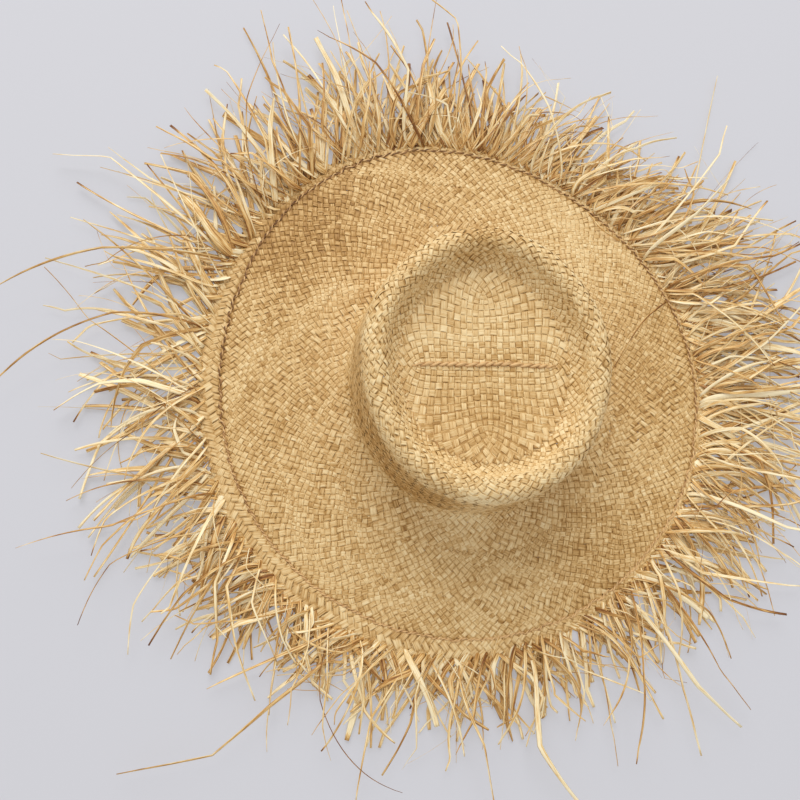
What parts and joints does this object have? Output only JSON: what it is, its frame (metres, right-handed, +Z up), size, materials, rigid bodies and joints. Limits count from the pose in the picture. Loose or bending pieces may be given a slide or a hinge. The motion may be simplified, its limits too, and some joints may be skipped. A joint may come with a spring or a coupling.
{
  "type": "straw sun hat",
  "caption": "Hand-plaited raffia sun hat with an oval telescope crown, a wide round brim and a long frayed fringe all round.",
  "frame": {"origin": "centre of the head opening on the resting plane under the brim", "axes": "+Z up along the crown's axis, +Y along the long way of the head oval, +X across the head"},
  "size_m": [0.716, 0.704, 0.088],
  "materials": {
    "raffia_plait": "matte plaited raffia, natural straw colour",
    "raffia_strand": "dry raffia strand with a faint sheen",
    "raffia_twining": "twisted raffia strands, slightly darker",
    "ribbon": "ribbed cotton ribbon, matte",
    "thread": "cotton thread"
  },
  "bodies": {
    "root": {"crown_tip": "raffia_plait", "crown_recess": "raffia_plait", "crown_ridge": "raffia_plait", "crown_wall": "raffia_plait", "brim_flare": "raffia_plait", "brim": "raffia_plait", "brim_margin": "raffia_plait", "edge_twining": "raffia_twining", "tip_twining_first": "raffia_twining", "tip_twining_second": "raffia_twining", "sweatband": "ribbon", "sweatband_stitches": "thread", "loose_strand": "raffia_strand", "loose_loop": "raffia_strand", "fringe_01": "raffia_strand", "fringe_02": "raffia_strand", "fringe_03": "raffia_strand", "fringe_04": "raffia_strand", "fringe_05": "raffia_strand", "fringe_06": "raffia_strand", "fringe_07": "raffia_strand", "fringe_08": "raffia_strand", "fringe_09": "raffia_strand", "fringe_10": "raffia_strand", "fringe_11": "raffia_strand", "fringe_12": "raffia_strand", "fringe_13": "raffia_strand", "fringe_14": "raffia_strand", "fringe_15": "raffia_strand", "fringe_16": "raffia_strand", "fringe_17": "raffia_strand", "fringe_18": "raffia_strand", "fringe_19": "raffia_strand", "fringe_20": "raffia_strand", "fringe_21": "raffia_strand", "fringe_22": "raffia_strand", "fringe_23": "raffia_strand", "fringe_24": "raffia_strand", "stray_strand_01": "raffia_strand", "stray_strand_02": "raffia_strand", "stray_strand_03": "raffia_strand", "stray_strand_04": "raffia_strand", "stray_strand_05": "raffia_strand", "stray_strand_06": "raffia_strand", "stray_strand_07": "raffia_strand", "stray_strand_08": "raffia_strand", "stray_strand_09": "raffia_strand", "stray_strand_10": "raffia_strand", "stray_strand_11": "raffia_strand", "stray_strand_12": "raffia_strand"}
  },
  "joints": []
}
